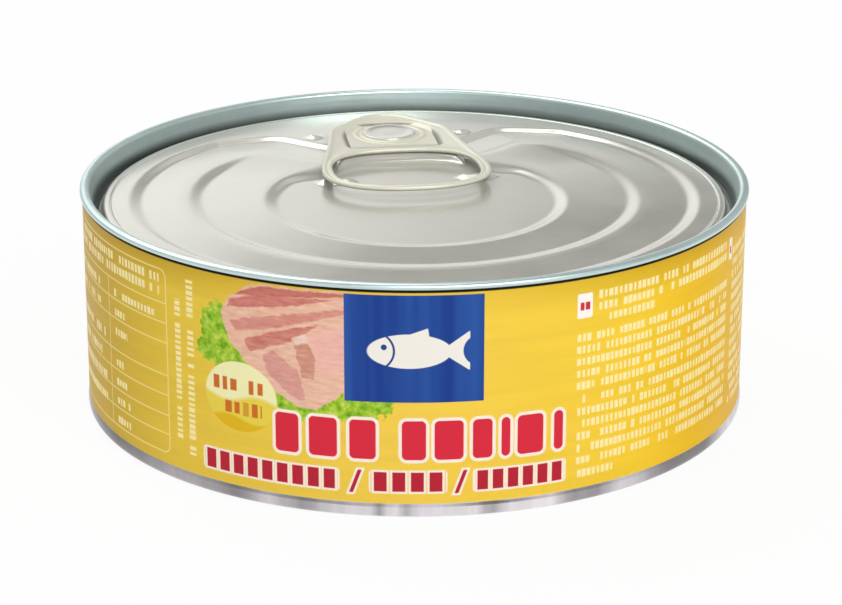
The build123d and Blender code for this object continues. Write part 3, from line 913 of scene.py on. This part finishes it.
def make_tab(material):
    bm = bmesh.new()

    def add_loop(points, level):
        return [bm.verts.new((*place(x, y), level)) for x, y in points]

    def skin(loops):
        for low, high in zip(loops, loops[1:]):
            for i in range(len(low)):
                k = (i + 1) % len(low)
                bm.faces.new((low[i], low[k], high[k], high[i]))

    def room(points):
        """How much of the full inset fits: the ring is narrow at the heel."""
        return np.interp(points[:, 1], [heel_a, 2.0, ring_mid, 12.0], [0.62, 0.75, 1.0, 1.0])

    def deep(points):
        """Thickness of the rolled edge, thinnest round the heel."""
        return np.interp(points[:, 1], [heel_a, ring_mid, 12.0, 16.0], [0.56, 0.6, 0.62, 0.64])

    # rows of the rolled edge: inset where all of it fits, share of the thickness, and lift
    roll = 0.27
    turns = [math.radians(d) for d in (0, 22, 45, 68, 90)]
    under = [(roll - roll * math.sin(u), 1.0, roll - roll * math.cos(u)) for u in turns]
    over = [(roll - roll * math.cos(u), 0.0, roll * math.sin(u) - roll) for u in turns]
    crown = [(0.5, 0.0, 0.0), (0.68, 0.0, -0.06), (0.84, 0.0, -0.16), (0.96, 0.0, -crown_drop)]
    tops, bottoms = [], []
    outer = mirrored(tab_side())
    hole = mirrored(hole_side())[::-1]
    for outline in (outer, hole):
        fit, depth = room(outline), deep(outline)
        loops = []
        for d, share, lift in under + over + crown:
            points = inset(outline, fit * d)
            levels = tab_top - share * depth + lift
            loops.append([bm.verts.new((*place(x, y), z)) for (x, y), z in zip(points, levels)])
        skin(loops)
        tops.append(loops[-1])
        bottoms.append(loops[0])
    window = mirrored(window_side())[::-1]
    ones = np.ones(len(window))
    rise = [(0.0, tab_under + 0.03), (0.0, tongue_top + 0.04), (0.3, tab_top - 0.42),
            (0.55, tab_top - 0.27), (0.75, tab_top - crown_drop)]
    loops = [add_loop(inset(window, ones * d), level) for d, level in rise]
    skin(loops)
    tops.append(loops[-1])

    def fill(rings):
        edges = []
        for ring in rings:
            for i in range(len(ring)):
                pair = (ring[i], ring[(i + 1) % len(ring)])
                edges.append(bm.edges.get(pair) or bm.edges.new(pair))
        bmesh.ops.triangle_fill(bm, use_beauty=True, use_dissolve=False, edges=edges)

    fill(tops)
    fill(bottoms)
    tongue = mirrored(window_side())
    ones = np.ones(len(tongue))
    gap = 0.22
    rise = [(gap, tab_under + 0.03), (gap, tongue_top - 0.06), (0.28, tongue_top)]
    loops = [add_loop(inset(tongue, ones * d), level) for d, level in rise]
    skin(loops)
    fill([loops[-1]])
    bmesh.ops.recalc_face_normals(bm, faces=bm.faces)
    bm.verts.index_update()
    verts = [tuple(v.co) for v in bm.verts]
    faces = [[v.index for v in f.verts] for f in bm.faces]
    bm.free()
    # stepped pad round the rivet, on the tongue
    steps = [(5.15, -0.1), (5.12, 0.08), (5.0, 0.16), (4.85, 0.18), (4.55, 0.18), (4.4, 0.14),
             (4.28, 0.02), (4.15, 0.02), (4.05, 0.1), (3.9, 0.14), (3.6, 0.14)]
    pad = [(r, tongue_top + lift) for r, lift in steps]
    pad_verts, pad_faces = lathe_mesh(pad, rivet_segments, place(0, rivet_a))
    faces += [[i + len(verts) for i in f] for f in pad_faces]
    verts += pad_verts
    return make_object("tab_plate", verts, faces, material, "pull_tab", 38)


make_wall(make_print())
make_base(make_base_metal())
make_seam(seam_metal)
make_panel(end_metal)
make_rivet(end_metal)
make_tab(tab_metal)


# ---------------------------------------------------------------- studio

def make_floor():
    material, g, shader = new_material("studio_floor")
    p = g.place_mm()
    tone = g.ramp(g.noise(p, 0.004, 2.0), [(0.3, 0.88), (0.7, 0.9)])
    g.feed(shader.inputs["Base Color"], tone)
    shader.inputs["Roughness"].default_value = 0.9
    glow = g.add("ShaderNodeEmission")
    glow.inputs["Strength"].default_value = 1.0
    ray = g.add("ShaderNodeLightPath")
    both = g.add("ShaderNodeMixShader")
    seen = g.math("MAXIMUM", ray.outputs["Is Camera Ray"], ray.outputs["Is Glossy Ray"])
    seen = g.math("MAXIMUM", seen, ray.outputs["Is Transmission Ray"])
    g.feed(both.inputs[0], g.math("MULTIPLY", seen, 0.93))
    g.feed(both.inputs[1], shader.outputs[0])
    g.feed(both.inputs[2], glow.outputs[0])
    g.feed(g.tree.nodes["Material Output"].inputs["Surface"], both.outputs[0])
    bm = bmesh.new()
    bmesh.ops.create_grid(bm, x_segments=8, y_segments=8, size=4.0)
    mesh = bpy.data.meshes.new("studio_floor")
    bm.to_mesh(mesh)
    bm.free()
    mesh.materials.append(material)
    floor = bpy.data.objects.new("studio_floor", mesh)
    bpy.context.scene.collection.objects.link(floor)


def make_world():
    world = bpy.data.worlds.new("studio")
    world.use_nodes = True
    bpy.context.scene.world = world
    g = Graph(world.node_tree)
    split = g.add("ShaderNodeSeparateXYZ")
    g.feed(split.inputs[0], g.add("ShaderNodeTexCoord").outputs["Generated"])
    # surroundings with a bright left and a soft dark patch behind on the right
    across = g.math("MULTIPLY_ADD", split.outputs[2], 1.1, -0.32)
    side = g.math("MULTIPLY_ADD", g.math("ADD", split.outputs[0], across), 0.5, 0.5)
    around = g.ramp(side, [
        (0.0, 0.5), (0.2, 0.5), (0.3, 0.9), (0.42, 1.1), (0.475, 0.97), (0.514, 0.85), (0.53, 0.3),
        (0.542, 0.02), (0.635, 0.02), (0.66, 0.45), (0.72, 0.7), (0.8, 0.5), (1.0, 0.5),
    ])
    heights = [(0.0, 0.72), (0.14, 0.8), (0.26, 1.0), (0.45, 1.0), (0.65, 0.62), (1.0, 0.5)]
    above = g.ramp(split.outputs[2], heights)
    around = g.multiply(above, around)
    ray = g.add("ShaderNodeLightPath")
    shown = g.mix(ray.outputs["Is Camera Ray"], around, (1.0, 1.0, 1.0, 1.0))
    back = world.node_tree.nodes["Background"]
    g.feed(back.inputs["Color"], shown)
    back.inputs["Strength"].default_value = 1.0


def area_lamp(name, place_m, aim_m, size, power):
    data = bpy.data.lights.new(name, "AREA")
    data.shape = "RECTANGLE"
    data.size, data.size_y = size
    data.energy = power
    lamp = bpy.data.objects.new(name, data)
    lamp.location = place_m
    lamp.rotation_euler = (Vector(aim_m) - Vector(place_m)).to_track_quat("-Z", "Y").to_euler()
    bpy.context.scene.collection.objects.link(lamp)


def make_camera():
    reach = camera_reach * rim_r * MM
    data = bpy.data.cameras.new("camera")
    data.sensor_width = 36.0
    data.lens = 124.75
    data.clip_start, data.clip_end = 0.01, 20
    camera = bpy.data.objects.new("camera", data)
    high = cad_high.z + reach * math.sin(camera_tilt)
    camera.location = (0, -reach * math.cos(camera_tilt), high)
    aim = Vector((0, 0, cad_high.z - camera_drop * rim_r * MM))
    camera.rotation_euler = (aim - camera.location).to_track_quat("-Z", "Y").to_euler()
    data.shift_x = 0.0079
    bpy.context.scene.collection.objects.link(camera)
    bpy.context.scene.camera = camera


make_floor()
make_world()
make_camera()
area_lamp("front_soft", (0.42, -1.0, 0.98), (0, 0, 0.015), (1.0, 1.0), 12.2)
area_lamp("back_left_soft", (-0.42, 0.6, 1.06), (0, 0, 0.03), (0.95, 0.95), 6.2)
bpy.context.scene.view_settings.view_transform = "Standard"
